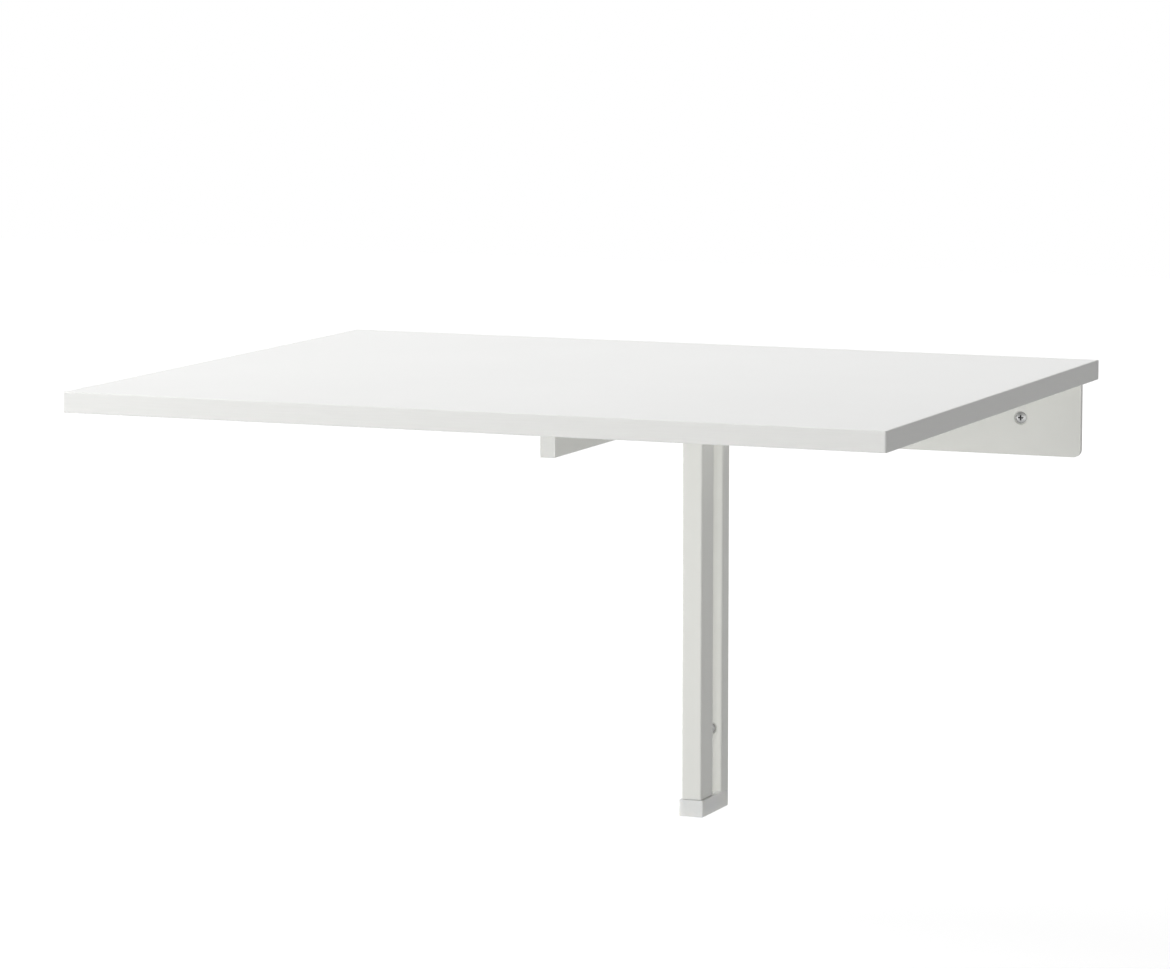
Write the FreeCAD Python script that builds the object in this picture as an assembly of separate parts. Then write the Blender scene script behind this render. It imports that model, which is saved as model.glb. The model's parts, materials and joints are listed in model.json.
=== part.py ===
import FreeCAD, Part
import os

from FreeCAD import Vector as V

# A drop leaf table that hangs on a wall. The wall is the plane Y = 0 and the table stands out from it
# towards -Y. X runs along the wall, Z is up, and the origin is the middle of the row of wall screws.
# All sizes are in millimetres.

# Leaf: a laminated board with a plastic band round its four edges
LEAF_WIDTH = 740.0
LEAF_DEPTH = 590.0
LEAF_THICK = 18.0
LEAF_WALL_GAP = 3.0
LEAF_TOP = 56.0
BAND_THICK = 2.0  # also the radius of the leaf's four corners
LEAF_EDGE_R = 1.0

# Wall plate: an upright face with its edge returned to the wall, and a shelf bent forward on top
PLATE_INSET = 16.0  # from each side of the leaf
PLATE_DROP = 34.0
PLATE_STAND = 4.5
PLATE_SHEET = 2.0
PLATE_CORNER_R = 7.0
BEND_INSIDE_R = 0.5
LIP_UNDER_BEND = 0.5
SHELF_UNDER_LEAF = 3.0
SHELF_PAST_PIVOT = 2.0

# Wall screws: a row of four in the plate, and one through the rail
SCREW_FROM_PLATE_END = 57.0
SCREW_COUNT = 4
SCREW_HOLE_R = 2.75
DIMPLE_R = 6.5
DIMPLE_SLOPE = 1.9
RAIL_SCREW_DROP = 305.0

# Rail: a channel, open towards the wall
RAIL_WIDTH = 24.0
RAIL_DEPTH = 16.0
RAIL_SHEET = 1.5
RAIL_INSIDE_R = 0.5

# Foot: a moulding that carries the gate's lower pin, with a tongue up inside the rail
FOOT_TOP = -365.0
FOOT_HEIGHT = 16.0
FOOT_WIDTH = 24.0
FOOT_PAST_POST = 1.5
FOOT_WALL = 2.4
FOOT_R = 1.2
FOOT_CHAMFER = 0.5
TONGUE_ABOVE_SCREW = 15.0
TONGUE_CLEAR = 0.15
SOCKET_PAST_PIN = 1.0

# Gate: an upright tube that turns on two pins, and an arm that carries the leaf
POST_WIDTH = 20.0
POST_DEPTH = 30.0
POST_FROM_WALL = 49.5
ARM_WIDTH = 14.0
ARM_HEIGHT = 35.0
ARM_END_FROM_WALL = 408.0
ARM_UNDER_SHELF = 2.6
TUBE_WALL = 1.2
TUBE_INSIDE_R = 0.6
PLUG_FLANGE = 1.2
PLUG_PAST_PIN = 4.0
PLUG_WALL = 2.0
PLUG_BOSS_WALL = 3.2
CAP_DEPTH = 14.0
CAP_CORNER_R = 0.8

# Pins and bushes of the gate
GATE_PIN_R = 4.0
GATE_PIN_HOLD = 20.0
GATE_PIN_FOOT = 11.0
RUN_CLEAR = 0.08
BUSH_WALL = 2.0
BUSH_COLLAR = 1.5
BUSH_RIM = 5.0  # from the pin to the rim of the bush's collar, and of the washer
BUSH_ABOVE_SHELF = 1.3
BUSH_ABOVE_PIN = 0.2
WASHER_THICK = 1.0
WASHER_SUNK = 0.7
WASHER_CLEAR = 0.3
CHAMFER = 0.6

# Hinges between the shelf and the leaf
HINGE_FROM_PLATE_END = 119.0
HINGE_LENGTH = 80.0
HINGE_SHEET = 1.5
HINGE_DROP_CLEAR = 1.7  # from the foot to the underside of the leaf when it hangs down
HINGE_PIN_R = 2.0
HINGE_EYES = 5
HINGE_EYE_GAP = 0.3
HINGE_EYE_UNDER_LEAF = 0.2
HINGE_NOTCH_GAP = 0.5
HINGE_WALL_REACH = 30.0
HINGE_LEAF_REACH = 40.0
HINGE_CORNER_R = 5.0

# Rivets and wood screws
RIVET_R = 2.0
RIVET_HEAD_R = 3.4
RIVET_FROM_HINGE_END = 12.0
RIVET_FROM_PIVOT = 18.0
WOOD_SCREW_R = 1.75
WOOD_SCREW_HEAD_R = 3.5
WOOD_SCREW_HEAD = 1.5
WOOD_SCREW_LENGTH = 15.0
NEAR_SCREW_FROM_PIVOT = 16.0
FAR_SCREW_FROM_PIVOT = 28.0

# Rest: the block under the leaf that the arm's end slides under
REST_LENGTH = 60.0
REST_WIDTH = 30.0
REST_GAP = 0.3
REST_END_THICK = 2.5
REST_RAMP = 11.0
REST_FROM_ARM_END = 21.0
REST_CORNER_R = 4.0
REST_SCREW_FROM_RAMP = 6.0
REST_SCREW_SUNK = 0.6

# Heights and distances that follow from the sizes above
LEAF_UNDER = LEAF_TOP - LEAF_THICK
LEAF_BACK = -LEAF_WALL_GAP
LEAF_FRONT = LEAF_BACK - LEAF_DEPTH
SHELF_TOP = LEAF_UNDER - SHELF_UNDER_LEAF
SHELF_UNDER = SHELF_TOP - PLATE_SHEET
BEND_R = BEND_INSIDE_R + PLATE_SHEET
RAIL_R = RAIL_INSIDE_R + RAIL_SHEET
TUBE_R = TUBE_INSIDE_R + TUBE_WALL
POST_Y = -POST_FROM_WALL
POST_BACK = POST_Y + POST_DEPTH / 2
POST_FRONT = POST_Y - POST_DEPTH / 2
FOOT_BOTTOM = FOOT_TOP - FOOT_HEIGHT
FOOT_FRONT = POST_FRONT - FOOT_PAST_POST
EYE_R = HINGE_PIN_R + HINGE_SHEET
EYE_PITCH = HINGE_LENGTH / HINGE_EYES
HINGE_Z = LEAF_UNDER - HINGE_EYE_UNDER_LEAF - EYE_R
HINGE_Y = FOOT_FRONT - HINGE_DROP_CLEAR + LEAF_UNDER - HINGE_Z
SHELF_FRONT = HINGE_Y - SHELF_PAST_PIVOT
ARM_TOP = SHELF_UNDER - ARM_UNDER_SHELF
ARM_END = -ARM_END_FROM_WALL
POST_TOP = ARM_TOP - PLUG_FLANGE
WASHER_FOOT = FOOT_TOP - WASHER_SUNK
POST_FOOT = WASHER_FOOT + RUN_CLEAR + WASHER_THICK + PLUG_FLANGE
BUSH_R = GATE_PIN_R + BUSH_WALL
WASHER_R = GATE_PIN_R + BUSH_RIM
RAIL_SCREW_Z = -RAIL_SCREW_DROP
REST_UNDER = ARM_TOP + REST_GAP
REST_Y = ARM_END + REST_FROM_ARM_END
PLATE_WIDTH = LEAF_WIDTH - 2 * PLATE_INSET
SCREW_REACH = PLATE_WIDTH / 2 - SCREW_FROM_PLATE_END
SCREW_XS = [SCREW_REACH * (2 * i / (SCREW_COUNT - 1) - 1) for i in range(SCREW_COUNT)]
HINGE_REACH = PLATE_WIDTH / 2 - HINGE_FROM_PLATE_END
HINGE_XS = {"left": -HINGE_REACH, "right": HINGE_REACH}

PARTS = {}


# ---- shapes that several pieces use

def block(x, y, z):
    """A box from its low and high value along each axis."""
    return Part.makeBox(x[1] - x[0], y[1] - y[0], z[1] - z[0], V(x[0], y[0], z[0]))


def span(a, b):
    """Two values in rising order."""
    return (min(a, b), max(a, b))


def along(shape, axis, keep=lambda middle: True):
    """The straight edges that run along an axis, and whose middle point passes a test."""
    found = []
    for edge in shape.Edges:
        a, b = edge.Vertexes[0].Point, edge.Vertexes[-1].Point
        run = b - a
        if run.Length > 0 and abs(abs(run.normalize().dot(axis)) - 1) < 1e-6 and keep((a + b) / 2):
            found.append(edge)
    return found


def rounded_block(x, y, z, radius, axis):
    """A box with the four edges along one axis rounded."""
    box = block(x, y, z)
    return box.makeFillet(radius, along(box, axis))


def turned(profile, base, axis=V(0, 0, 1)):
    """A lathe turned solid: (radius, height) points of half its section, about an axis through base."""
    points = [V(r, 0, h) for r, h in profile]
    face = Part.Face(Part.makePolygon(points + points[:1]))
    solid = face.revolve(V(0, 0, 0), V(0, 0, 1), 360)
    solid.Placement = FreeCAD.Placement(base, FreeCAD.Rotation(V(0, 0, 1), axis))
    return solid


def tube(x, y, z, axis):
    """A rectangular tube along an axis, with rounded corners outside and inside."""
    ends = {"x": x, "y": y, "z": z}
    outer = rounded_block(x, y, z, TUBE_R, axis)
    inside = {}
    for name, part in (("x", axis.x), ("y", axis.y), ("z", axis.z)):
        low, high = ends[name]
        inside[name] = (low, high) if part else (low + TUBE_WALL, high - TUBE_WALL)
    inner = rounded_block(inside["x"], inside["y"], inside["z"], TUBE_INSIDE_R, axis)
    return outer.cut(inner)


def countersunk_screw(x, y, z):
    """A wood screw, its flat head down at z and its shank up into the board."""
    profile = [(0, 0), (WOOD_SCREW_HEAD_R, 0), (WOOD_SCREW_R, WOOD_SCREW_HEAD),
               (WOOD_SCREW_R, WOOD_SCREW_LENGTH), (0, WOOD_SCREW_LENGTH)]
    return turned(profile, V(x, y, z))


def cut_all(shape, tools):
    """The shape less each of the tools."""
    for tool in tools:
        shape = shape.cut(tool)
    return shape


# ---- leaf

def leaf_outline():
    """The whole leaf, with its corners and its upper and lower edges rounded."""
    whole = rounded_block((-LEAF_WIDTH / 2, LEAF_WIDTH / 2), (LEAF_FRONT, LEAF_BACK),
                          (LEAF_UNDER, LEAF_TOP), BAND_THICK, V(0, 0, 1))
    rims = [e for e in whole.Edges if abs(e.BoundBox.ZMax - e.BoundBox.ZMin) < 1e-6]
    return whole.makeFillet(LEAF_EDGE_R, rims)


def make_leaf(screws):
    """The board, drilled for its screws, and the four bands. The side bands run past the other two."""
    board_x = LEAF_WIDTH / 2 - BAND_THICK
    board_y = (LEAF_FRONT + BAND_THICK, LEAF_BACK - BAND_THICK)
    height = (LEAF_UNDER, LEAF_TOP)
    board = block((-board_x, board_x), board_y, height)
    ring = leaf_outline().cut(board)
    far = LEAF_WIDTH
    PARTS["leaf_board"] = cut_all(board, screws)
    PARTS["edge_band_left"] = ring.common(block((-far, -board_x), (LEAF_FRONT, LEAF_BACK), height))
    PARTS["edge_band_right"] = ring.common(block((board_x, far), (LEAF_FRONT, LEAF_BACK), height))
    PARTS["edge_band_front"] = ring.common(block((-board_x, board_x), (LEAF_FRONT, board_y[0]), height))
    PARTS["edge_band_back"] = ring.common(block((-board_x, board_x), (board_y[1], LEAF_BACK), height))


# ---- hinges

def eyes(middle, first, bore_r):
    """The rolled eyes of one hinge half, every second one from the first, and the bore through them."""
    start = middle - HINGE_LENGTH / 2
    rolls = []
    for i in range(first, HINGE_EYES, 2):
        low = start + i * EYE_PITCH + HINGE_EYE_GAP / 2
        base = V(low, HINGE_Y, HINGE_Z)
        rolls.append(Part.makeCylinder(EYE_R, EYE_PITCH - HINGE_EYE_GAP, base, V(1, 0, 0)))
    bore = Part.makeCylinder(bore_r, HINGE_LENGTH, V(start, HINGE_Y, HINGE_Z), V(1, 0, 0))
    return rolls, bore


def notches(middle, first, z):
    """The spaces in a hinge half's sheet for the other half's eyes."""
    start = middle - (HINGE_LENGTH + HINGE_EYE_GAP) / 2
    clear = EYE_R + HINGE_NOTCH_GAP
    cuts = []
    for i in range(first, HINGE_EYES, 2):
        low = start + i * EYE_PITCH
        cuts.append(block((low, low + EYE_PITCH + HINGE_EYE_GAP), (HINGE_Y - clear, HINGE_Y + clear), z))
    return cuts


def hinge_half(middle, y_far, z, first, bore_r, fasteners):
    """One half: a sheet from the pivot to y_far with its far corners rounded, its eyes, and its holes."""
    reach = (HINGE_LENGTH - HINGE_EYE_GAP) / 2
    sheet = block((middle - reach, middle + reach), span(HINGE_Y, y_far), z)
    sheet = sheet.makeFillet(HINGE_CORNER_R, along(sheet, V(0, 0, 1), lambda p: abs(p.y - y_far) < 1))
    sheet = cut_all(sheet, notches(middle, 1 - first, z))
    rolls, bore = eyes(middle, first, bore_r)
    return cut_all(sheet.multiFuse(rolls).cut(bore).removeSplitter(), fasteners)


def rivet(x, y):
    """A rivet with a countersunk head flush in the hinge, and its tail flush under the shelf."""
    top = SHELF_TOP + HINGE_SHEET
    profile = [(0, SHELF_UNDER), (RIVET_R, SHELF_UNDER), (RIVET_R, SHELF_TOP), (RIVET_HEAD_R, top), (0, top)]
    return turned(profile, V(x, y, 0))


def hinge_pin(middle):
    """A pin that stands a little out of the outer eyes, with its ends chamfered."""
    reach = HINGE_LENGTH / 2
    profile = [(0, -reach), (HINGE_PIN_R - CHAMFER, -reach), (HINGE_PIN_R, CHAMFER - reach),
               (HINGE_PIN_R, reach - CHAMFER), (HINGE_PIN_R - CHAMFER, reach), (0, reach)]
    return turned(profile, V(middle, HINGE_Y, HINGE_Z), V(1, 0, 0))


def make_hinges():
    """Both hinges. The pin is tight in the wall half and turns in the leaf's half."""
    rivets, screws = [], []
    wall_z = (SHELF_TOP, SHELF_TOP + HINGE_SHEET)
    leaf_z = (LEAF_UNDER - HINGE_SHEET, LEAF_UNDER)
    apart = HINGE_LENGTH / 2 - RIVET_FROM_HINGE_END
    near_row = HINGE_Y - NEAR_SCREW_FROM_PIVOT
    far_row = HINGE_Y - FAR_SCREW_FROM_PIVOT
    for side, x in HINGE_XS.items():
        own_rivets = [rivet(x + dx, HINGE_Y + RIVET_FROM_PIVOT) for dx in (-apart, apart)]
        spots = [(x - apart, near_row), (x, far_row), (x + apart, near_row)]
        own_screws = [countersunk_screw(sx, sy, leaf_z[0]) for sx, sy in spots]
        PARTS["hinge_wall_leaf_" + side] = hinge_half(
            x, HINGE_Y + HINGE_WALL_REACH, wall_z, 0, HINGE_PIN_R, own_rivets)
        PARTS["hinge_table_leaf_" + side] = hinge_half(
            x, HINGE_Y - HINGE_LEAF_REACH, leaf_z, 1, HINGE_PIN_R + RUN_CLEAR, own_screws)
        PARTS["hinge_pin_" + side] = hinge_pin(x)
        rivets += own_rivets
        screws += own_screws
    PARTS["hinge_rivets"] = Part.makeCompound(rivets)
    PARTS["hinge_screws"] = Part.makeCompound(screws)
    return rivets, screws


# ---- wall plate, rail and foot

def screw_dimple(x):
    """What a pressed screw dimple adds behind the plate, and what it takes from the front."""
    behind = PLATE_STAND - PLATE_SHEET
    back_r = DIMPLE_R + PLATE_SHEET - DIMPLE_SLOPE / 2
    swell = turned([(0, 0), (back_r - DIMPLE_SLOPE, 0), (back_r, behind), (0, behind)],
                   V(x, 0, 0), V(0, -1, 0))
    floor_r = DIMPLE_R - DIMPLE_SLOPE
    hollow = turned([(0, PLATE_SHEET), (floor_r, PLATE_SHEET), (DIMPLE_R, PLATE_STAND), (0, PLATE_STAND)],
                    V(x, 0, 0), V(0, -1, 0))
    hole = Part.makeCylinder(SCREW_HOLE_R, PLATE_STAND, V(x, 0, 0), V(0, -1, 0))
    return swell, hollow.fuse(hole)


def make_wall_plate(rivets):
    """The plate: a shallow tray with its back to the wall, and the shelf bent forward from its top."""
    half = PLATE_WIDTH / 2
    face = block((-half, half), (-PLATE_STAND, 0), (-PLATE_DROP, SHELF_TOP))
    face = face.makeFillet(PLATE_CORNER_R, along(face, V(0, 1, 0), lambda p: p.z < 0))
    inner = half - PLATE_SHEET
    back = PLATE_SHEET - PLATE_STAND
    hollow = block((-inner, inner), (back, 0), (PLATE_SHEET - PLATE_DROP, SHELF_TOP))
    hollow = hollow.makeFillet(PLATE_CORNER_R - PLATE_SHEET, along(hollow, V(0, 1, 0), lambda p: p.z < 0))
    lip_end = block((-half, half), (back, 0), (SHELF_TOP - BEND_R - LIP_UNDER_BEND, SHELF_TOP))
    shelf = block((-half, half), (SHELF_FRONT, back), (SHELF_UNDER, SHELF_TOP))
    shelf = shelf.makeFillet(PLATE_CORNER_R, along(shelf, V(0, 0, 1), lambda p: p.y < HINGE_Y))
    plate = face.cut(hollow).cut(lip_end).fuse(shelf).removeSplitter()
    outer = along(plate, V(1, 0, 0), lambda p: abs(p.z - SHELF_TOP) < 0.01 and p.y > -PLATE_STAND)
    plate = plate.makeFillet(BEND_R, outer)
    inner_bend = along(plate, V(1, 0, 0), lambda p: p.distanceToPoint(V(0, -PLATE_STAND, SHELF_UNDER)) < 0.01)
    plate = plate.makeFillet(BEND_INSIDE_R, inner_bend)
    for x in SCREW_XS:
        swell, hollow = screw_dimple(x)
        plate = plate.fuse(swell).cut(hollow)
    reach = HINGE_LENGTH / 2 + HINGE_NOTCH_GAP
    clear = HINGE_Y + EYE_R + HINGE_NOTCH_GAP
    for x in HINGE_XS.values():
        plate = plate.cut(block((x - reach, x + reach), (SHELF_FRONT, clear), (SHELF_UNDER, SHELF_TOP)))
    bush_hole = Part.makeCylinder(BUSH_R, PLATE_SHEET, V(0, POST_Y, SHELF_UNDER))
    PARTS["wall_plate"] = cut_all(plate.cut(bush_hole), rivets).removeSplitter()


def make_rail():
    """The channel from the foot up to the shelf. Its flanges are cut back where it crosses the plate."""
    half = RAIL_WIDTH / 2
    outer = block((-half, half), (-RAIL_DEPTH, 0), (FOOT_TOP, SHELF_UNDER))
    outer = outer.makeFillet(RAIL_R, along(outer, V(0, 0, 1), lambda p: p.y < -1))
    inner = half - RAIL_SHEET
    hollow = block((-inner, inner), (RAIL_SHEET - RAIL_DEPTH, 0), (FOOT_TOP, SHELF_UNDER))
    hollow = hollow.makeFillet(RAIL_INSIDE_R, along(hollow, V(0, 0, 1), lambda p: p.y < -1))
    crossing = block((-half, half), (-PLATE_STAND, 0), (-PLATE_DROP, SHELF_UNDER))
    corner = block((-half, half), (-PLATE_STAND - BEND_R, 0), (SHELF_UNDER - BEND_R, SHELF_UNDER))
    hole = Part.makeCylinder(SCREW_HOLE_R, RAIL_DEPTH, V(0, 0, RAIL_SCREW_Z), V(0, -1, 0))
    PARTS["rail"] = outer.cut(hollow).cut(crossing).cut(corner).cut(hole)


def foot_pockets():
    """The spaces cored out of the foot's underside, either side of the boss round the pin."""
    half = FOOT_WIDTH / 2 - FOOT_WALL
    floor = (FOOT_BOTTOM, FOOT_TOP - FOOT_WALL)
    boss_r = BUSH_R + FOOT_WALL
    boss = Part.makeCylinder(boss_r, FOOT_HEIGHT, V(0, POST_Y, FOOT_BOTTOM))
    pocket = block((-half, half), (FOOT_FRONT + FOOT_WALL, -RAIL_DEPTH), floor)
    pocket = pocket.makeFillet(FOOT_R, along(pocket, V(0, 0, 1))).cut(boss)
    rib = block((-FOOT_WALL / 2, FOOT_WALL / 2), (FOOT_FRONT, 0), floor)
    cross_y = (POST_Y + boss_r - RAIL_DEPTH) / 2
    cross_rib = block((-half, half), (cross_y - FOOT_WALL / 2, cross_y + FOOT_WALL / 2), floor)
    return pocket.cut(rib).cut(cross_rib)


def make_foot():
    """The foot and its tongue as one moulding, with the hole for the wall screw that clamps both."""
    half = FOOT_WIDTH / 2
    base = block((-half, half), (FOOT_FRONT, 0), (FOOT_BOTTOM, FOOT_TOP))
    base = base.makeFillet(FOOT_R, along(base, V(0, 0, 1), lambda p: p.y < -1))
    rims = [e for e in base.Edges if e.BoundBox.ZMax - e.BoundBox.ZMin < 0.01 and e.BoundBox.YMin < -0.01]
    base = base.makeChamfer(FOOT_CHAMFER, rims)
    tongue_half = RAIL_WIDTH / 2 - RAIL_SHEET - TONGUE_CLEAR
    tongue = block((-tongue_half, tongue_half), (RAIL_SHEET + TONGUE_CLEAR - RAIL_DEPTH, 0),
                   (FOOT_TOP - FOOT_WALL, RAIL_SCREW_Z + TONGUE_ABOVE_SCREW))
    tongue = tongue.makeFillet(FOOT_R, along(tongue, V(0, 0, 1), lambda p: p.y < -1))
    screw_hole = Part.makeCylinder(SCREW_HOLE_R, RAIL_DEPTH, V(0, 0, RAIL_SCREW_Z), V(0, -1, 0))
    socket_floor = FOOT_TOP - GATE_PIN_FOOT - SOCKET_PAST_PIN
    socket = Part.makeCylinder(BUSH_R, FOOT_TOP - socket_floor, V(0, POST_Y, socket_floor))
    recess = Part.makeCylinder(WASHER_R + WASHER_CLEAR, WASHER_SUNK, V(0, POST_Y, WASHER_FOOT))
    foot = base.cut(foot_pockets()).fuse(tongue)
    PARTS["foot_block"] = cut_all(foot, [screw_hole, socket, recess]).removeSplitter()
    bore = GATE_PIN_R + RUN_CLEAR
    PARTS["foot_pivot_bush"] = turned(
        [(bore, socket_floor), (BUSH_R, socket_floor), (BUSH_R, WASHER_FOOT), (bore, WASHER_FOOT)],
        V(0, POST_Y, 0))
    washer_bore = GATE_PIN_R + WASHER_CLEAR
    PARTS["thrust_washer"] = turned(
        [(washer_bore, 0), (WASHER_R, 0), (WASHER_R, WASHER_THICK), (washer_bore, WASHER_THICK)],
        V(0, POST_Y, WASHER_FOOT + RUN_CLEAR))


def make_top_bush():
    """The bush in the shelf: a collar below, and a body through the sheet and a little proud of it."""
    bore = GATE_PIN_R + RUN_CLEAR
    collar_r = GATE_PIN_R + BUSH_RIM
    low = SHELF_UNDER - BUSH_COLLAR
    top = SHELF_TOP + BUSH_ABOVE_SHELF
    PARTS["top_pivot_bush"] = turned(
        [(bore, low), (collar_r, low), (collar_r, SHELF_UNDER), (BUSH_R, SHELF_UNDER),
         (BUSH_R, top - CHAMFER), (BUSH_R - CHAMFER, top), (bore, top)], V(0, POST_Y, 0))


# ---- gate

def post_plug(flange_z, inward):
    """A plug for one end of the upright: a flange over the tube's end, and a hollow body with a boss."""
    half_x, half_y = POST_WIDTH / 2, POST_DEPTH / 2
    flange = rounded_block((-half_x, half_x), (POST_Y - half_y, POST_Y + half_y),
                           span(flange_z, flange_z - inward * PLUG_FLANGE), TUBE_R, V(0, 0, 1))
    depth = GATE_PIN_HOLD + PLUG_PAST_PIN
    z = span(flange_z, flange_z + inward * depth)
    body_x, body_y = half_x - TUBE_WALL, half_y - TUBE_WALL
    body = rounded_block((-body_x, body_x), (POST_Y - body_y, POST_Y + body_y), z, TUBE_INSIDE_R, V(0, 0, 1))
    core_x, core_y = body_x - PLUG_WALL, body_y - PLUG_WALL
    core = block((-core_x, core_x), (POST_Y - core_y, POST_Y + core_y), z)
    boss = Part.makeCylinder(GATE_PIN_R + PLUG_BOSS_WALL, depth, V(0, POST_Y, z[0]))
    rib = block((-PLUG_WALL / 2, PLUG_WALL / 2), (POST_Y - core_y, POST_Y + core_y), z)
    return body.cut(core.cut(boss).cut(rib)).fuse(flange).removeSplitter()


def gate_pin(low, high, tip_up):
    """A steel pin held in a plug, with its free end chamfered."""
    r, tip = GATE_PIN_R, GATE_PIN_R - CHAMFER
    if tip_up:
        profile = [(0, low), (r, low), (r, high - CHAMFER), (tip, high), (0, high)]
    else:
        profile = [(0, low), (tip, low), (r, low + CHAMFER), (r, high), (0, high)]
    return turned(profile, V(0, POST_Y, 0))


def arm_cap():
    """The arm's end cap: a face over the tube's end, and a hollow body with a cross rib inside it."""
    half = ARM_WIDTH / 2
    z = (ARM_TOP - ARM_HEIGHT, ARM_TOP)
    behind = ARM_END + PLUG_FLANGE
    face = rounded_block((-half, half), (ARM_END, behind), z, CAP_CORNER_R, V(0, 1, 0))
    y = (behind, behind + CAP_DEPTH)
    body_x, body_z = half - TUBE_WALL, (z[0] + TUBE_WALL, z[1] - TUBE_WALL)
    body = rounded_block((-body_x, body_x), y, body_z, TUBE_INSIDE_R, V(0, 1, 0))
    core_x, core_z = body_x - PLUG_WALL, (body_z[0] + PLUG_WALL, body_z[1] - PLUG_WALL)
    middle = (z[0] + z[1]) / 2
    rib = block((-core_x, core_x), y, (middle - PLUG_WALL / 2, middle + PLUG_WALL / 2))
    return face.fuse(body.cut(block((-core_x, core_x), y, core_z).cut(rib))).removeSplitter()


def make_gate():
    """The two tubes, their plugs and the two pins."""
    PARTS["post_tube"] = tube((-POST_WIDTH / 2, POST_WIDTH / 2), (POST_FRONT, POST_BACK),
                              (POST_FOOT, POST_TOP), V(0, 0, 1))
    PARTS["arm_tube"] = tube((-ARM_WIDTH / 2, ARM_WIDTH / 2), (ARM_END + PLUG_FLANGE, POST_FRONT),
                             (ARM_TOP - ARM_HEIGHT, ARM_TOP), V(0, 1, 0))
    PARTS["arm_end_cap"] = arm_cap()
    pin_tip = SHELF_TOP + BUSH_ABOVE_SHELF - BUSH_ABOVE_PIN
    PARTS["top_pivot_pin"] = gate_pin(POST_TOP - GATE_PIN_HOLD, pin_tip, True)
    PARTS["foot_pivot_pin"] = gate_pin(FOOT_TOP - GATE_PIN_FOOT, POST_FOOT + GATE_PIN_HOLD, False)
    PARTS["post_top_plug"] = post_plug(POST_TOP, -1).cut(PARTS["top_pivot_pin"])
    PARTS["post_foot_plug"] = post_plug(POST_FOOT, 1).cut(PARTS["foot_pivot_pin"])


# ---- rest under the leaf

def make_arm_rest():
    """A block with a ramp at each end, so that the arm lifts the leaf as it swings under it."""
    half = REST_LENGTH / 2
    y = (REST_Y - REST_WIDTH / 2, REST_Y + REST_WIDTH / 2)
    end = LEAF_UNDER - REST_END_THICK
    flat = half - REST_RAMP
    outline = [(-half, LEAF_UNDER), (-half, end), (-flat, REST_UNDER), (flat, REST_UNDER), (half, end),
               (half, LEAF_UNDER)]
    points = [V(px, y[0], pz) for px, pz in outline]
    rest = Part.Face(Part.makePolygon(points + points[:1])).extrude(V(0, REST_WIDTH, 0))
    rest = rest.makeFillet(REST_CORNER_R, along(rest, V(0, 0, 1)))
    head_z = REST_UNDER + REST_SCREW_SUNK
    screws = []
    for x in (REST_SCREW_FROM_RAMP - flat, flat - REST_SCREW_FROM_RAMP):
        screws.append(countersunk_screw(x, REST_Y, head_z))
        rest = rest.cut(Part.makeCylinder(WOOD_SCREW_HEAD_R, REST_SCREW_SUNK, V(x, REST_Y, REST_UNDER)))
    PARTS["arm_rest"] = cut_all(rest, screws)
    PARTS["arm_rest_screws"] = Part.makeCompound(screws)
    return screws


def build():
    """Makes every piece and writes each to its own file."""
    rivets, hinge_screws = make_hinges()
    rest_screws = make_arm_rest()
    make_leaf(hinge_screws + rest_screws)
    make_wall_plate(rivets)
    make_rail()
    make_foot()
    make_top_bush()
    make_gate()
    os.makedirs("parts", exist_ok=True)
    for name, shape in PARTS.items():
        shape.exportStep("parts/" + name + ".step")
        print(name, len(shape.Solids), round(shape.Volume), shape.isValid())


build()
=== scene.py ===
import json
import math

import bpy
import numpy as np
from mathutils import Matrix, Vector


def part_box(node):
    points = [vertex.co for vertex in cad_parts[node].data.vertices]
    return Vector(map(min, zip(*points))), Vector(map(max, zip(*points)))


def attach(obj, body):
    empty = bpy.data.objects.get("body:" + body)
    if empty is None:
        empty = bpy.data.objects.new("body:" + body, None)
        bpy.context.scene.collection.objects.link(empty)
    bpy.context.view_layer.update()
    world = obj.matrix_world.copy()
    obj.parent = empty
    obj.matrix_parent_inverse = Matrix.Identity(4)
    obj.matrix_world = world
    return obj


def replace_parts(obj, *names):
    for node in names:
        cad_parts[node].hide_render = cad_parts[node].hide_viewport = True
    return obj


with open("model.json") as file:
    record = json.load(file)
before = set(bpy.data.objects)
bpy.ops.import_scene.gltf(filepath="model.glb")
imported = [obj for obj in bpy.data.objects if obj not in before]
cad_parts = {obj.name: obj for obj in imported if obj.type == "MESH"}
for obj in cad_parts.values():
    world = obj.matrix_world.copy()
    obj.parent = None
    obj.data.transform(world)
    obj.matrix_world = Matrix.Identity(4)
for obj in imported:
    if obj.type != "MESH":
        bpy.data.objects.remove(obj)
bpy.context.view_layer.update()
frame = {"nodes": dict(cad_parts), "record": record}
nodes = frame["nodes"]
scene = bpy.context.scene


# ---------------------------------------------------------------- camera
# A long lens, to the right of the table and a little above it, looking down towards the left. It stands over
# four metres off, so that the leaf's far edge looks only a little shorter than its near one.

CAMERA_PLACE = (1.6202, -4.2447, 0.5150)
CAMERA_YAW = 22.452
CAMERA_PITCH = -7.4205
CAMERA_LENS = 150.56
CAMERA_FILM = 36.0
CAMERA_REACH = 60.0

camera_data = bpy.data.cameras.new("camera")
camera_data.sensor_width = CAMERA_FILM
camera_data.lens = CAMERA_LENS
camera_data.clip_end = CAMERA_REACH
camera = bpy.data.objects.new("camera", camera_data)
camera.location = CAMERA_PLACE
camera.rotation_euler = (math.radians(90 + CAMERA_PITCH), 0, math.radians(CAMERA_YAW))
scene.collection.objects.link(camera)
scene.camera = camera


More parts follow.
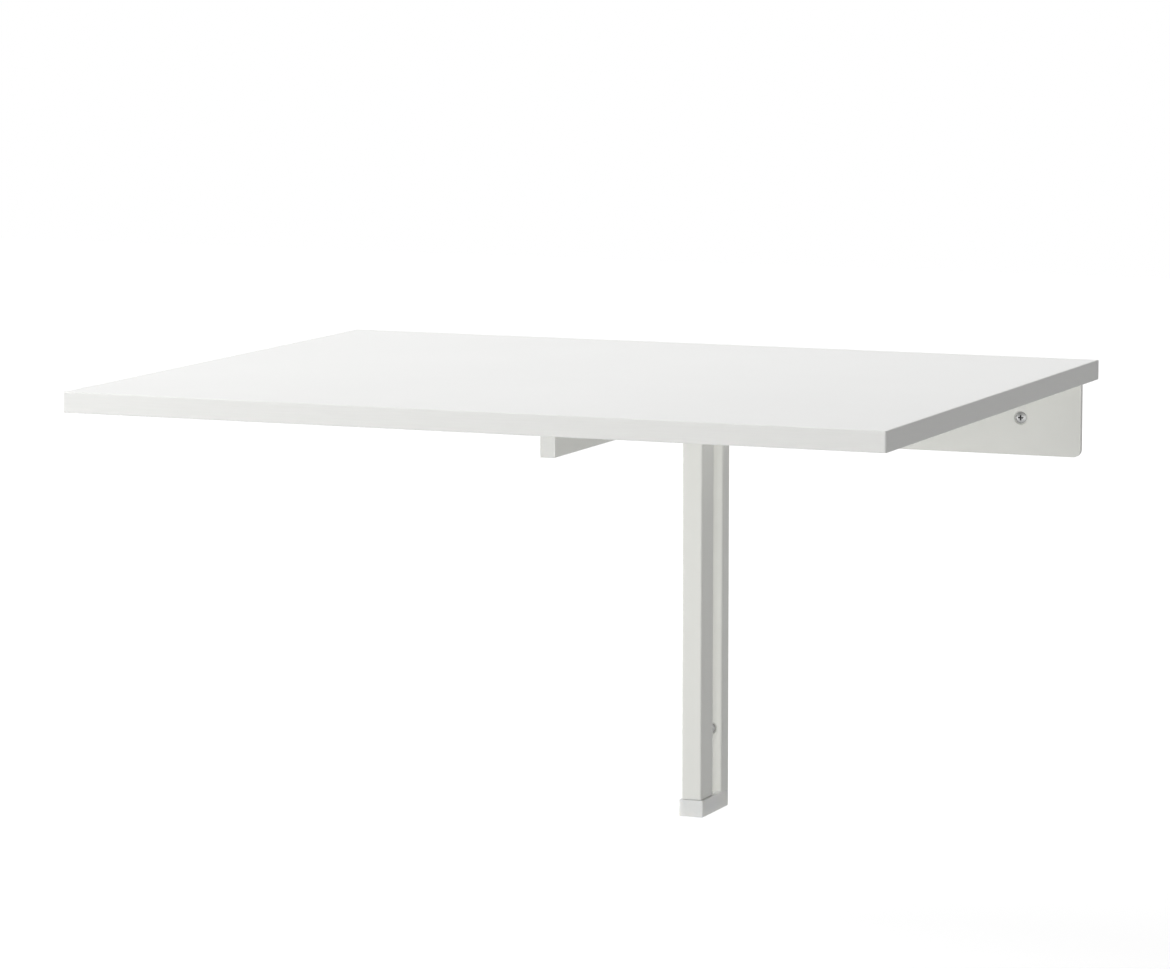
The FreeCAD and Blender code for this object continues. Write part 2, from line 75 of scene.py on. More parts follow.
# ---------------------------------------------------------------- studio light
# One soft box stands in front, lower than the table, so that it also lights what hangs under the leaf. One
# stands on the left at the leaf's height, one hangs above that, and two hang overhead.

FRONT_BOX = {"place": (1.3, -5.0, -0.5), "size": 1.6, "watts": 85.0}
LEFT_BOX = {"place": (-3.2, -2.4, 0.1), "size": 1.6, "watts": 60.0}
HIGH_LEFT = {"place": (-2.6, -1.0, 1.7), "size": 2.0, "watts": 44.0}
TOP_LEFT = {"place": (-1.6, -1.2, 2.6), "size": 2.0, "watts": 28.5}
TOP_BACK = {"place": (0.0, 0.6, 2.8), "size": 2.0, "watts": 40.0}
LAMPS_FACE = (0, -0.3, 0)
SURROUND_FILL = 0.057
SURROUND_TINT = (1.0, 0.995, 0.985)


def soft_box(name, place, size, watts):
    """A square lamp at a place, turned so that it faces the table."""
    lamp_data = bpy.data.lights.new(name, "AREA")
    lamp_data.size = size
    lamp_data.energy = watts
    lamp = bpy.data.objects.new(name, lamp_data)
    lamp.location = place
    lamp.visible_camera = False
    way = np.array(LAMPS_FACE, float) - np.array(place, float)
    lamp.rotation_euler = (math.atan2(math.hypot(way[0], way[1]), -way[2]), 0, math.atan2(-way[0], way[1]))
    scene.collection.objects.link(lamp)


def seen_rays(its_tree):
    """1 where the camera looks, straight or by a reflection or through something clear, and 0 for light."""
    path = its_tree.nodes.new("ShaderNodeLightPath")
    total = path.outputs["Is Camera Ray"]
    for other in ("Is Glossy Ray", "Is Transmission Ray"):
        more = its_tree.nodes.new("ShaderNodeMath")
        more.operation = "MAXIMUM"
        its_tree.links.new(total, more.inputs[0])
        its_tree.links.new(path.outputs[other], more.inputs[1])
        total = more.outputs[0]
    return total


soft_box("front_box", **FRONT_BOX)
soft_box("left_box", **LEFT_BOX)
soft_box("high_left", **HIGH_LEFT)
soft_box("top_left", **TOP_LEFT)
soft_box("top_back", **TOP_BACK)

world = bpy.data.worlds.new("surround")
scene.world = world
world.use_nodes = True
tree = world.node_tree
tree.nodes.clear()
fill = tree.nodes.new("ShaderNodeBackground")
fill.inputs["Color"].default_value = (*SURROUND_TINT, 1)
fill.inputs["Strength"].default_value = SURROUND_FILL
white = tree.nodes.new("ShaderNodeBackground")
white.inputs["Color"].default_value = (1, 1, 1, 1)
white.inputs["Strength"].default_value = 1.0
mix = tree.nodes.new("ShaderNodeMixShader")
out = tree.nodes.new("ShaderNodeOutputWorld")
tree.links.new(seen_rays(tree), mix.inputs["Fac"])
tree.links.new(fill.outputs[0], mix.inputs[1])
tree.links.new(white.outputs[0], mix.inputs[2])
tree.links.new(mix.outputs[0], out.inputs["Surface"])

scene.view_settings.view_transform = "Standard"


# ---------------------------------------------------------------- floor
# A plain pale floor, as far below the table as a table stands high. It shows white, keeps the shadow, and
# throws light back up under the leaf. From below it can be seen through.

TABLE_HEIGHT = 0.74
FLOOR_HALF = 9.0
FLOOR_GREY = 0.6
FLOOR_ROUGHNESS = 0.9
FLOOR_BOUNCE = 0.16
FLOOR_LIFT_NEAR = 0.55
FLOOR_LIFT_FAR = 1.0
FLOOR_NEAR = 0.9
FLOOR_FAR = 3.0

floor_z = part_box("leaf_board")[1].z - TABLE_HEIGHT
floor_mesh = bpy.data.meshes.new("floor")
corners = [(x * FLOOR_HALF, y * FLOOR_HALF, floor_z) for x, y in ((-1, -1), (1, -1), (1, 1), (-1, 1))]
floor_mesh.from_pydata(corners, [], [(0, 1, 2, 3)])
floor = bpy.data.objects.new("floor", floor_mesh)
scene.collection.objects.link(floor)
floor_paint = bpy.data.materials.new("pale_floor")
floor_paint.use_nodes = True
tree = floor_paint.node_tree
shader = tree.nodes["Principled BSDF"]
shader.inputs["Base Color"].default_value = (FLOOR_GREY, FLOOR_GREY, FLOOR_GREY, 1)
shader.inputs["Roughness"].default_value = FLOOR_ROUGHNESS
spot = tree.nodes.new("ShaderNodeTexCoord")
away = tree.nodes.new("ShaderNodeVectorMath")
away.operation = "DISTANCE"
away.inputs[1].default_value = (0, 0, floor_z)
tree.links.new(spot.outputs["Object"], away.inputs[0])
lift = tree.nodes.new("ShaderNodeMapRange")
lift.inputs["From Min"].default_value = FLOOR_NEAR
lift.inputs["From Max"].default_value = FLOOR_FAR
lift.inputs["To Min"].default_value = FLOOR_LIFT_NEAR
lift.inputs["To Max"].default_value = FLOOR_LIFT_FAR
tree.links.new(away.outputs["Value"], lift.inputs["Value"])
strength = tree.nodes.new("ShaderNodeMix")
strength.inputs["A"].default_value = FLOOR_BOUNCE
tree.links.new(seen_rays(tree), strength.inputs["Factor"])
tree.links.new(lift.outputs["Result"], strength.inputs["B"])
glow = tree.nodes.new("ShaderNodeEmission")
tree.links.new(strength.outputs["Result"], glow.inputs["Strength"])
add = tree.nodes.new("ShaderNodeAddShader")
tree.links.new(shader.outputs[0], add.inputs[0])
tree.links.new(glow.outputs[0], add.inputs[1])
underside = tree.nodes.new("ShaderNodeNewGeometry")
clear = tree.nodes.new("ShaderNodeBsdfTransparent")
one_sided = tree.nodes.new("ShaderNodeMixShader")
tree.links.new(underside.outputs["Backfacing"], one_sided.inputs["Fac"])
tree.links.new(add.outputs[0], one_sided.inputs[1])
tree.links.new(clear.outputs[0], one_sided.inputs[2])
tree.links.new(one_sided.outputs[0], tree.nodes["Material Output"].inputs["Surface"])
floor_mesh.materials.append(floor_paint)


# ---------------------------------------------------------------- wall plate, rail and the gate's two tubes
# Bent sheet and rectangular tube, all in mild steel. They are powder coated white after bending and welding:
# the coat is semi matt, with a fine orange peel and a trace of dust in it.

COAT_COLOUR = (0.80, 0.803, 0.765)
COAT_SHADE = (0.775, 0.778, 0.74)
COAT_ROUGHNESS = (0.33, 0.44)
COAT_CLOUDS = 9.0
COAT_PEEL = 900.0
PEEL_RELIEF = {"strength": 0.5, "metres": 0.00016}
NOISE_LOW = 0.3
NOISE_HIGH = 0.7


def surface(name, metallic=0.0):
    """A new material, its nodes, its shader, and the object's own coordinates in it."""
    made = bpy.data.materials.new(name)
    made.use_nodes = True
    its_tree = made.node_tree
    its_shader = its_tree.nodes["Principled BSDF"]
    its_shader.inputs["Metallic"].default_value = metallic
    coordinates = its_tree.nodes.new("ShaderNodeTexCoord")
    return made, its_tree, its_shader, coordinates.outputs["Object"]


def stretched(its_tree, place, stretch):
    """Coordinates drawn out along an axis, so that a noise on them becomes streaks."""
    mapping = its_tree.nodes.new("ShaderNodeMapping")
    mapping.inputs["Scale"].default_value = stretch
    its_tree.links.new(place, mapping.inputs["Vector"])
    return mapping.outputs["Vector"]


def noise(its_tree, place, scale, detail=3.0, rough=0.55):
    """A noise of so many waves in a metre, from 0 to 1."""
    cloud = its_tree.nodes.new("ShaderNodeTexNoise")
    cloud.inputs["Scale"].default_value = scale
    cloud.inputs["Detail"].default_value = detail
    cloud.inputs["Roughness"].default_value = rough
    its_tree.links.new(place, cloud.inputs["Vector"])
    return cloud.outputs["Fac"]


def colour(its_tree, its_shader, value, dark, light):
    """Gives the shader a colour that runs from dark to light as a value runs over a noise's usual range."""
    ramp = its_tree.nodes.new("ShaderNodeValToRGB")
    ramp.color_ramp.elements[0].position = NOISE_LOW
    ramp.color_ramp.elements[0].color = (*dark, 1)
    ramp.color_ramp.elements[1].position = NOISE_HIGH
    ramp.color_ramp.elements[1].color = (*light, 1)
    its_tree.links.new(value, ramp.inputs["Fac"])
    its_tree.links.new(ramp.outputs["Color"], its_shader.inputs["Base Color"])
    return ramp.outputs["Color"]


def gloss(its_tree, its_shader, value, roughness):
    """Gives the shader a roughness between two numbers as a value runs over a noise's usual range."""
    map_range = its_tree.nodes.new("ShaderNodeMapRange")
    map_range.inputs["From Min"].default_value = NOISE_LOW
    map_range.inputs["From Max"].default_value = NOISE_HIGH
    map_range.inputs["To Min"].default_value = roughness[0]
    map_range.inputs["To Max"].default_value = roughness[1]
    its_tree.links.new(value, map_range.inputs["Value"])
    its_tree.links.new(map_range.outputs["Result"], its_shader.inputs["Roughness"])


def relief(its_tree, its_shader, height, strength, metres):
    """Gives the shader bumps from a height that runs from 0 to 1, so many metres deep."""
    bump = its_tree.nodes.new("ShaderNodeBump")
    bump.inputs["Strength"].default_value = strength
    bump.inputs["Distance"].default_value = metres
    its_tree.links.new(height, bump.inputs["Height"])
    its_tree.links.new(bump.outputs["Normal"], its_shader.inputs["Normal"])


def dress(material, *names):
    """Puts a material on CAD nodes."""
    for name in names:
        mesh = nodes[name].data
        mesh.materials.clear()
        mesh.materials.append(material)


powder_coat, tree, shader, place = surface("powder_coat")
peel = noise(tree, place, COAT_PEEL, detail=2.0)
colour(tree, shader, noise(tree, place, COAT_CLOUDS), COAT_SHADE, COAT_COLOUR)
gloss(tree, shader, peel, COAT_ROUGHNESS)
relief(tree, shader, peel, **PEEL_RELIEF)
dress(powder_coat, "wall_plate", "rail", "post_tube", "arm_tube")


# ---------------------------------------------------------------- welds
# The arm is welded to the upright round both sides and underneath, and the rail to the plate with four short
# stitches. The beads are steel under the same coat, and show the ripples of the pool as it froze.

SHARP_EDGE = math.radians(40)
BEAD_R = 0.0017
BEAD_AROUND = 16
BEAD_RIPPLE = 0.16
BEAD_PITCH = 0.0014
BEAD_TAPER = 0.0030
BEAD_STEP = 0.00022
TUBE_CORNER_R = 0.0018
WELD_UNDER_POST_TOP = 0.001
PLATE_FACE_Y = -0.0045
STITCH_LENGTH = 0.018
STITCHES_UP = (0.006, 0.040)

arm_low, arm_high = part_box("arm_tube")
post_low, post_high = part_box("post_tube")
rail_low, rail_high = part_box("rail")
plate_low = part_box("wall_plate")[0]


def ringed(rings, first, last):
    """A closed skin over rings of points, each with as many points, drawn to one point at either end. It is
    given as its points, its four sided faces and its triangles, which all face outward."""
    count, around = rings.shape[:2]
    points = np.concatenate([rings.reshape(-1, 3), [first, last]])
    here = np.arange(around)
    after = np.roll(here, -1)
    ring = around * np.arange(count - 1)[:, None]
    skin = np.stack([ring + after, ring + here, ring + around + here, ring + around + after], 2)
    end = around * (count - 1)
    tip = np.full(around, around * count)
    ends = np.stack([np.stack([here, after, tip], 1), np.stack([end + after, end + here, tip + 1], 1)])
    return points, skin.reshape(-1, 4), ends.reshape(-1, 3)


def joined(shapes):
    """Several shapes as one: each one's faces count on from the points of those before it."""
    points, fours, threes = zip(*shapes)
    starts = np.cumsum([0] + [len(own) for own in points[:-1]])
    all_fours = np.concatenate([start + own for start, own in zip(starts, fours)])
    all_threes = np.concatenate([start + own for start, own in zip(starts, threes)])
    return np.concatenate(points), all_fours, all_threes


def new_piece(name, shape, material, body):
    """A piece made of a shape, with its material and the body it rides on."""
    points, fours, threes = shape
    mesh = bpy.data.meshes.new(name)
    mesh.from_pydata(points.tolist(), [], fours.tolist() + threes.tolist())
    mesh.update()
    mesh.shade_smooth()
    mesh.set_sharp_from_angle(angle=SHARP_EDGE)
    mesh.materials.append(material)
    made = bpy.data.objects.new(name, mesh)
    scene.collection.objects.link(made)
    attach(made, body)
    return made


def bead(path, side, across):
    """A weld bead along a path of points. Its section is a circle across two directions at each point. The
    radius swells and falls once in every ripple pitch, as the size of a half sine, and it falls to nothing
    over a short way at either end, as the root of the distance from that end."""
    step = np.linalg.norm(np.diff(path, axis=0), axis=1)
    run = np.concatenate([[0], np.cumsum(step)])
    ripple = 1 - BEAD_RIPPLE + BEAD_RIPPLE * np.abs(np.sin(np.pi * run / BEAD_PITCH))
    from_end = np.minimum(run, run[-1] - run) / BEAD_TAPER
    radius = BEAD_R * ripple * np.sqrt(np.clip(from_end, 0.0, 1.0))
    turn = np.linspace(0, 2 * np.pi, BEAD_AROUND, endpoint=False)[None, :, None]
    ring = np.cos(turn) * side[:, None, :] + np.sin(turn) * across[:, None, :]
    rings = path[:, None, :] + radius[:, None, None] * ring
    return ringed(rings[1:-1], path[0], path[-1])


def steps(low, high):
    """Places from low to high, a bead's step apart."""
    return np.linspace(low, high, math.ceil(abs(high - low) / BEAD_STEP))


def arm_bead():
    """The bead on the upright's front: down the arm's left side, a quarter turn round its lower left corner,
    along its underside, and then the same mirrored. At each point the way out of the arm is kept too."""
    side_end = arm_low.z + TUBE_CORNER_R
    flat = arm_high.x - TUBE_CORNER_R
    down = steps(post_high.z - WELD_UNDER_POST_TOP, side_end)
    turn = steps(0, TUBE_CORNER_R * np.pi / 2)[1:-1] / TUBE_CORNER_R
    under = steps(-flat, 0)
    left = np.concatenate([np.full_like(down, arm_low.x), -flat - TUBE_CORNER_R * np.cos(turn), under])
    height = np.concatenate([down, side_end - TUBE_CORNER_R * np.sin(turn), np.full_like(under, arm_low.z)])
    out_x = np.concatenate([np.full_like(down, -1), -np.cos(turn), np.zeros_like(under)])
    out_z = np.concatenate([np.zeros_like(down), -np.sin(turn), np.full_like(under, -1)])
    half = np.stack([left, np.full_like(left, post_low.y), height], 1)
    half_out = np.stack([out_x, np.zeros_like(out_x), out_z], 1)
    mirror = np.array([-1, 1, 1])
    path = np.concatenate([half, mirror * half[-2::-1]])
    outward = np.concatenate([half_out, mirror * half_out[-2::-1]])
    return bead(path, outward, np.tile((0, -1, 0), (len(path), 1)))


def stitch(x, low, outward):
    """One upright bead in the corner between a side of the rail and the plate's face."""
    height = steps(low, low + STITCH_LENGTH)
    path = np.stack([np.full_like(height, x), np.full_like(height, PLATE_FACE_Y), height], 1)
    return bead(path, np.tile((outward, 0, 0), (len(path), 1)), np.tile((0, -outward, 0), (len(path), 1)))


new_piece("arm_weld", arm_bead(), powder_coat, "gate")
stitches = []
for x, outward in ((rail_low.x, -1), (rail_high.x, 1)):
    for up in STITCHES_UP:
        stitches.append(stitch(x, plate_low.z + up, outward))
new_piece("rail_welds", joined(stitches), powder_coat, "frame")


# ---------------------------------------------------------------- leaf
# An 18 mm particleboard with a white melamine laminate on both faces, pressed with a faint pearl texture.
# It is sawn to size, and the hinges and the arm rest are screwed to it from below.

LAMINATE_COLOUR = (0.86, 0.861, 0.85)
LAMINATE_SHADE = (0.84, 0.841, 0.83)
LAMINATE_ROUGHNESS = (0.36, 0.47)
LAMINATE_CLOUDS = 4.0
PEARL = 650.0
PEARL_RELIEF = {"strength": 0.25, "metres": 0.00008}

laminate, tree, shader, place = surface("laminate")
pearl = noise(tree, place, PEARL)
colour(tree, shader, noise(tree, place, LAMINATE_CLOUDS), LAMINATE_SHADE, LAMINATE_COLOUR)
gloss(tree, shader, pearl, LAMINATE_ROUGHNESS)
relief(tree, shader, pearl, **PEARL_RELIEF)
dress(laminate, "leaf_board")


# ---------------------------------------------------------------- edge bands
# Two millimetres of white plastic, hot glued round the board and rounded with a cutter, which leaves faint
# lines along the band.

BAND_COLOUR = (0.855, 0.857, 0.835)
BAND_SHADE = (0.835, 0.837, 0.815)
BAND_ROUGHNESS = (0.40, 0.48)
CUTTER_LINES = 700.0
CUTTER_LINE_STRETCH = (0.04, 0.04, 1.0)
CUTTER_LINE_RELIEF = {"strength": 0.12, "metres": 0.00004}

edging, tree, shader, place = surface("edging")
cut = noise(tree, stretched(tree, place, CUTTER_LINE_STRETCH), CUTTER_LINES)
colour(tree, shader, cut, BAND_SHADE, BAND_COLOUR)
gloss(tree, shader, cut, BAND_ROUGHNESS)
relief(tree, shader, cut, **CUTTER_LINE_RELIEF)
dress(edging, "edge_band_front", "edge_band_back", "edge_band_left", "edge_band_right")


# ---------------------------------------------------------------- mouldings
# The foot, the plugs, the arm's end cap and the arm rest are moulded in white plastic with a fine spark
# eroded grain. Light goes into the plastic and comes out again, and it goes deepest in the thick foot.

MOULDING_LOOK = {"dark": (0.81, 0.813, 0.78), "light": (0.84, 0.843, 0.81), "glow": 0.3, "depth": 0.003}
FOOT_LOOK = {"dark": (0.825, 0.828, 0.797), "light": (0.855, 0.858, 0.827), "glow": 0.8, "depth": 0.007}
MOULDING_ROUGHNESS = (0.28, 0.40)
MOULDING_GLOW_TINT = (1.0, 0.95, 0.85)
SPARK_GRAIN = 900.0
SPARK_GRAIN_RELIEF = {"strength": 0.6, "metres": 0.00015}


def moulded(name, dark, light, glow, depth):
    """A moulded plastic between two colours. Its glow is the share of the light that goes in, and the depth
    is how far it gets."""
    made, its_tree, its_shader, spot = surface(name)
    its_shader.inputs["Subsurface Weight"].default_value = glow
    its_shader.inputs["Subsurface Scale"].default_value = depth
    its_shader.inputs["Subsurface Radius"].default_value = MOULDING_GLOW_TINT
    grain = noise(its_tree, spot, SPARK_GRAIN, detail=4.0, rough=0.65)
    colour(its_tree, its_shader, grain, dark, light)
    gloss(its_tree, its_shader, grain, MOULDING_ROUGHNESS)
    relief(its_tree, its_shader, grain, **SPARK_GRAIN_RELIEF)
    return made


moulding = moulded("moulding", **MOULDING_LOOK)
dress(moulding, "arm_end_cap", "arm_rest", "post_top_plug", "post_foot_plug")
dress(moulded("foot_plastic", **FOOT_LOOK), "foot_block")


# ---------------------------------------------------------------- bushes and washer
# Turned in natural bearing plastic, a little yellower than the mouldings and waxy, with the fine rings that
# the tool leaves.

BUSH_COLOUR = (0.70, 0.67, 0.58)
BUSH_SHADE = (0.64, 0.61, 0.52)
BUSH_ROUGHNESS = (0.28, 0.42)
BUSH_RINGS = 900.0
BUSH_RING_STRETCH = (0.2, 0.2, 3.0)
BUSH_RING_RELIEF = {"strength": 0.2, "metres": 0.00004}

bearing, tree, shader, place = surface("bearing_plastic")
turned_rings = noise(tree, stretched(tree, place, BUSH_RING_STRETCH), BUSH_RINGS)
colour(tree, shader, turned_rings, BUSH_SHADE, BUSH_COLOUR)
gloss(tree, shader, turned_rings, BUSH_ROUGHNESS)
relief(tree, shader, turned_rings, **BUSH_RING_RELIEF)
dress(bearing, "top_pivot_bush", "foot_pivot_bush", "thrust_washer")


# ---------------------------------------------------------------- hinges, their pins and rivets
# Zinc plated steel strip, rolled into eyes, with the rolling lines and the cloudy tint that plating leaves.
# The rivets are set flush under the shelf.

ZINC_COLOUR = (0.64, 0.65, 0.66)
ZINC_SHADE = (0.50, 0.51, 0.53)
ZINC_ROUGHNESS = (0.26, 0.46)
ZINC_CLOUDS = 60.0
ROLLING_LINES = 1400.0
ROLLING_LINE_STRETCH = (0.05, 1.0, 1.0)
ROLLING_LINE_RELIEF = {"strength": 0.25, "metres": 0.00004}

zinc, tree, shader, place = surface("zinc_plate", metallic=1.0)
rolled = noise(tree, stretched(tree, place, ROLLING_LINE_STRETCH), ROLLING_LINES)
colour(tree, shader, noise(tree, place, ZINC_CLOUDS), ZINC_SHADE, ZINC_COLOUR)
gloss(tree, shader, rolled, ZINC_ROUGHNESS)
relief(tree, shader, rolled, **ROLLING_LINE_RELIEF)
dress(zinc, "hinge_wall_leaf_left", "hinge_wall_leaf_right", "hinge_table_leaf_left",
      "hinge_table_leaf_right", "hinge_pin_left", "hinge_pin_right", "hinge_rivets", "hinge_screws",
      "arm_rest_screws")


# ---------------------------------------------------------------- screws under the leaf
# Countersunk chipboard screws with a cross recess, rolled and zinc plated. Six hold the table halves of the
# hinges, and two hold the arm rest. Their recesses are painted darker, a painted shade deepest at the bottom.

SCREW_COLOUR = (0.43, 0.432, 0.43)
SCREW_SHADE = (0.33, 0.332, 0.33)
SCREW_ROUGHNESS = (0.38, 0.54)
SCREW_CLOUDS = 420.0
SCREW_SCRATCHES = 2600.0
SCREW_SCRATCH_RELIEF = {"strength": 0.2, "metres": 0.00002}
# The dark colour painted into the screws' recesses as shade, and the share of it left at a recess's mouth.
RECESS_PAINTED_SHADE = (0.14, 0.14, 0.137)
PAINTED_SHADE_AT_MOUTH = 0.6
AROUND = 72
TURN = np.linspace(0, 2 * np.pi, AROUND, endpoint=False)
RECESS_RINGS = 6
RECESS_CORNER_POWER = 6
RECESS_BOTTOM_WIDTH = 0.4
RECESS_BOTTOM_REACH = 0.5
LEAST_SINE = 1e-4
DOME_RINGS = 6
RINGS_IN_PITCH = 10
THREAD_FLANK = 3.4
CHIPBOARD_HEAD = {"head_r": 0.0035, "crown": 0.00005, "edge": 0.00015, "recess_r": 0.0020,
                  "recess_depth": 0.0016}
CHIPBOARD_SHANK = {"under": 0.0019, "shank_r": 0.00165, "length": 0.015, "pitch": 0.0018, "ridge": 0.0004,
                   "plain": 0.0024, "point": 0.0045}
HINGE_SCREW_TURNS = (0.3, 1.2, 2.1, 3.0, 3.9, 4.8)
REST_SCREW_TURNS = (0.5, 1.6)

screw_steel, tree, shader, place = surface("screw_steel", metallic=1.0)
cloudy = noise(tree, place, SCREW_CLOUDS)
# Painted shade: a point attribute mixes the plating's colour towards the dark recess colour, most at the
# recess's bottom.
recess_shade = tree.nodes.new("ShaderNodeAttribute")
recess_shade.attribute_name = "recess_shade"
painted_shade_mix = tree.nodes.new("ShaderNodeMix")
painted_shade_mix.data_type = "RGBA"
painted_shade_mix.inputs["B"].default_value = (*RECESS_PAINTED_SHADE, 1)
tree.links.new(recess_shade.outputs["Fac"], painted_shade_mix.inputs["Factor"])
plating = colour(tree, shader, cloudy, SCREW_SHADE, SCREW_COLOUR)
tree.links.new(plating, painted_shade_mix.inputs["A"])
tree.links.new(painted_shade_mix.outputs["Result"], shader.inputs["Base Color"])
gloss(tree, shader, cloudy, SCREW_ROUGHNESS)
relief(tree, shader, noise(tree, place, SCREW_SCRATCHES, detail=2.0), **SCREW_SCRATCH_RELIEF)


def cross_outline(half_width, reach, turned):
    """How far a cross recess goes out at each angle round a screw. Beside an arm it is half the arm's width
    over the sine of the angle from that arm, and it is the arm's reach at the arm's end. The two are joined
    as one over the sixth root of the sum of their inverse sixth powers, which rounds the corners."""
    from_arm = (TURN - turned + np.pi / 4) % (np.pi / 2) - np.pi / 4
    side = half_width / np.maximum(np.abs(np.sin(from_arm)), LEAST_SINE)
    return (side ** -RECESS_CORNER_POWER + reach ** -RECESS_CORNER_POWER) ** (-1 / RECESS_CORNER_POWER)


def screw_head(turned, head_r, crown, edge, recess_r, recess_depth):
    """Rings from the bottom of the recess to the rim of the head, as radius and height at each angle, and
    how much painted shade each ring takes. The recess is a cross whose arms are half as wide as they are
    long, and at the bottom they narrow to two fifths and shorten by half. The head stands on an edge, and
    rises over it by the crown times one less the square of the radius over the head's radius. A ring's
    painted shade is one, less a share that grows with the cube of its way up the recess, and nothing outside
    the recess."""
    deep = np.linspace(0, 1, RECESS_RINGS)[:, None]
    half_width = recess_r / 4 * (RECESS_BOTTOM_WIDTH + (1 - RECESS_BOTTOM_WIDTH) * deep)
    reach = recess_r * (RECESS_BOTTOM_REACH + (1 - RECESS_BOTTOM_REACH) * deep)
    recess = cross_outline(half_width, reach, turned)
    out = np.linspace(0, 1, DOME_RINGS + 1)[1:, None]
    radius = np.concatenate([recess, recess[-1] + (head_r - recess[-1]) * out])
    height = edge + crown * (1 - (radius / head_r) ** 2)
    height[:RECESS_RINGS] -= recess_depth * (1 - deep)
    # The painted shade is full at a recess's bottom and fades towards its mouth; the head's dome gets none.
    shaded_rings = np.concatenate([1 - (1 - PAINTED_SHADE_AT_MOUTH) * deep[:, 0] ** 3, np.zeros(DOME_RINGS)])
    return radius, height, shaded_rings


def screw_shank(head_r, under, shank_r, length, pitch, ridge, plain, point):
    """Rings from under the head's rim to the tip. A cone runs down to the shank, which is plain at first.
    Past that its core is half a ridge thinner, and a thread stands one ridge high on the core, where the
    depth over the pitch plus the turn is near a half. Near the tip all radii fall as the root of the
    distance from it."""
    down = np.arange(under + pitch / RINGS_IN_PITCH, length, pitch / RINGS_IN_PITCH)[:, None]
    phase = (down / pitch + TURN / (2 * np.pi)) % 1.0
    thread = np.clip(1 - THREAD_FLANK * np.abs(phase - 0.5), 0, 1) * np.clip((down - plain) / pitch, 0, 1)
    core = np.where(down > plain, shank_r - ridge / 2, shank_r)
    radius = (core + ridge * thread) * np.sqrt(np.clip((length - down) / point, 0, 1))
    cone = np.array([[head_r], [shank_r]]) * np.ones(AROUND)
    height = np.concatenate([[[0.0]], [[-under]], -down]) * np.ones(AROUND)
    return np.concatenate([cone, radius]), height


def screw(seat, facing, turned, head, shank):
    """One screw as a closed skin of rings round its axis, and how much painted shade each point takes in the
    recess.
    """
    head_radius, head_height, shaded_rings = screw_head(turned, **head)
    shank_radius, shank_height = screw_shank(head["head_r"], **shank)
    radius = np.concatenate([head_radius, shank_radius])[:, :, None]
    height = np.concatenate([head_height, shank_height])[:, :, None]
    facing = np.array(facing, float)
    across = np.array((1.0, 0.0, 0.0))
    up = np.cross(facing, across)
    round_axis = np.cos(TURN)[:, None] * across + np.sin(TURN)[:, None] * up
    rings = np.array(seat) + radius * round_axis + height * facing
    first = np.array(seat) + facing * head_height[0].mean()
    last = np.array(seat) - facing * shank["length"]
    shaded_points = np.concatenate([np.repeat(shaded_rings, AROUND), np.zeros(shank_radius.size), [1.0, 0.0]])
    return ringed(rings, first, last), shaded_points


def screw_group(name, screws, body):
    """Several screws as one piece, with the painted shade of their recesses kept as an attribute."""
    shapes, shaded_points = zip(*screws)
    made = new_piece(name, joined(shapes), screw_steel, body)
    kept = made.data.attributes.new("recess_shade", "FLOAT", "POINT")
    kept.data.foreach_set("value", np.concatenate(shaded_points))
    return made


screws_low, screws_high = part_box("hinge_screws")
hinge_low, hinge_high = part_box("hinge_table_leaf_right")
head_r, head_edge = CHIPBOARD_HEAD["head_r"], CHIPBOARD_HEAD["edge"]
hinge_x = (hinge_low.x + hinge_high.x) / 2
pair_half = screws_high.x - head_r - hinge_x
near_row = screws_high.y - head_r
far_row = screws_low.y + head_r
spots = [(side * hinge_x + pair * pair_half, near_row) for side in (-1, 1) for pair in (-1, 1)]
spots += [(side * hinge_x, far_row) for side in (-1, 1)]
screws = []
for (x, y), turned in zip(spots, HINGE_SCREW_TURNS):
    seat = (x, y, screws_low.z + head_edge)
    screws.append(screw(seat, (0, 0, -1), turned, CHIPBOARD_HEAD, CHIPBOARD_SHANK))
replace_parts(screw_group("hinge_wood_screws", screws, "leaf"), "hinge_screws")

screws_low, screws_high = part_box("arm_rest_screws")
y = (screws_low.y + screws_high.y) / 2
screws = []
for x, turned in zip((screws_low.x + head_r, screws_high.x - head_r), REST_SCREW_TURNS):
    seat = (x, y, screws_low.z + head_edge)
    screws.append(screw(seat, (0, 0, -1), turned, CHIPBOARD_HEAD, CHIPBOARD_SHANK))
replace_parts(screw_group("rest_wood_screws", screws, "leaf"), "arm_rest_screws")


# ---------------------------------------------------------------- wall screws
# Five 5 mm screws that hold the table to the wall. Four have raised heads that seat in the pressed dimples of
# the plate, and one pan head clamps the rail near its foot. Their points go on into the wall's plugs.

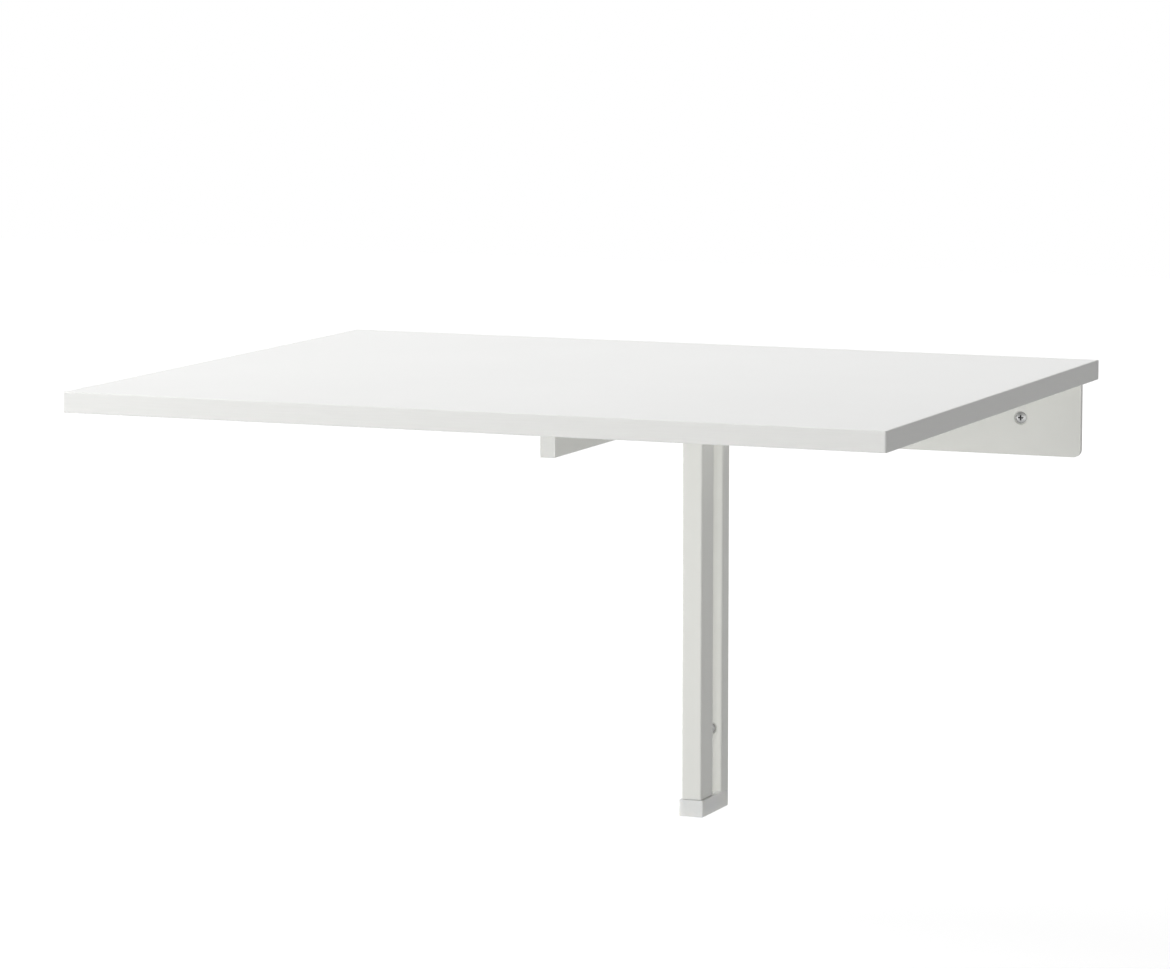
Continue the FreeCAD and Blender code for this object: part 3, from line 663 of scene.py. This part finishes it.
RAISED_HEAD = {"head_r": 0.00515, "crown": 0.0013, "edge": 0.0003, "recess_r": 0.0025, "recess_depth": 0.0024}
RAISED_SHANK = {"under": 0.0024, "shank_r": 0.0024, "length": 0.0112, "pitch": 0.0022, "ridge": 0.0006,
                "plain": 0.0030, "point": 0.0050}
PAN_HEAD = {"head_r": 0.00515, "crown": 0.0018, "edge": 0.0013, "recess_r": 0.0029, "recess_depth": 0.0024}
PAN_SHANK = {"under": 0.00002, "shank_r": 0.0024, "length": 0.0242, "pitch": 0.0022, "ridge": 0.0006,
             "plain": 0.0140, "point": 0.0050}
RIM_IN_DIMPLE_Y = -0.00272
MILLIMETRE = 0.001
PLATE_SCREW_TURNS = (0.35, 0.95, 0.15, 0.04)
RAIL_SCREW_TURN = -0.4

mounts = {mount["name"]: mount for mount in frame["record"]["mounts"]}
outer = mounts["wall_screws"]["dims"]["spacing_x_mm"] / 2 * MILLIMETRE
inner = mounts["wall_screws_inner"]["dims"]["spacing_x_mm"] / 2 * MILLIMETRE
screws = []
for x, turned in zip((-outer, -inner, inner, outer), PLATE_SCREW_TURNS):
    screws.append(screw((x, RIM_IN_DIMPLE_Y, 0.0), (0, -1, 0), turned, RAISED_HEAD, RAISED_SHANK))
screw_group("plate_wall_screws", screws, "frame")

seat = (0.0, rail_low.y, mounts["rail_screw"]["pos_m"][2])
screw_group("rail_wall_screw", [screw(seat, (0, -1, 0), RAIL_SCREW_TURN, PAN_HEAD, PAN_SHANK)], "frame")


# ---------------------------------------------------------------- pivot pins
# Two 8 mm pins of bright drawn steel rod, cut and chamfered on a lathe, with the drawing lines along them.
# They are pressed into the plugs at the upright's two ends.

PIN_COLOUR = (0.60, 0.60, 0.61)
PIN_SHADE = (0.42, 0.42, 0.43)
PIN_ROUGHNESS = (0.20, 0.36)
PIN_LINES = 1600.0
PIN_LINE_STRETCH = (0.3, 0.3, 1.0)
PIN_LINE_RELIEF = {"strength": 0.2, "metres": 0.00003}

bright_steel, tree, shader, place = surface("bright_steel", metallic=1.0)
drawn = noise(tree, stretched(tree, place, PIN_LINE_STRETCH), PIN_LINES)
colour(tree, shader, drawn, PIN_SHADE, PIN_COLOUR)
gloss(tree, shader, drawn, PIN_ROUGHNESS)
relief(tree, shader, drawn, **PIN_LINE_RELIEF)
dress(bright_steel, "top_pivot_pin", "foot_pivot_pin")
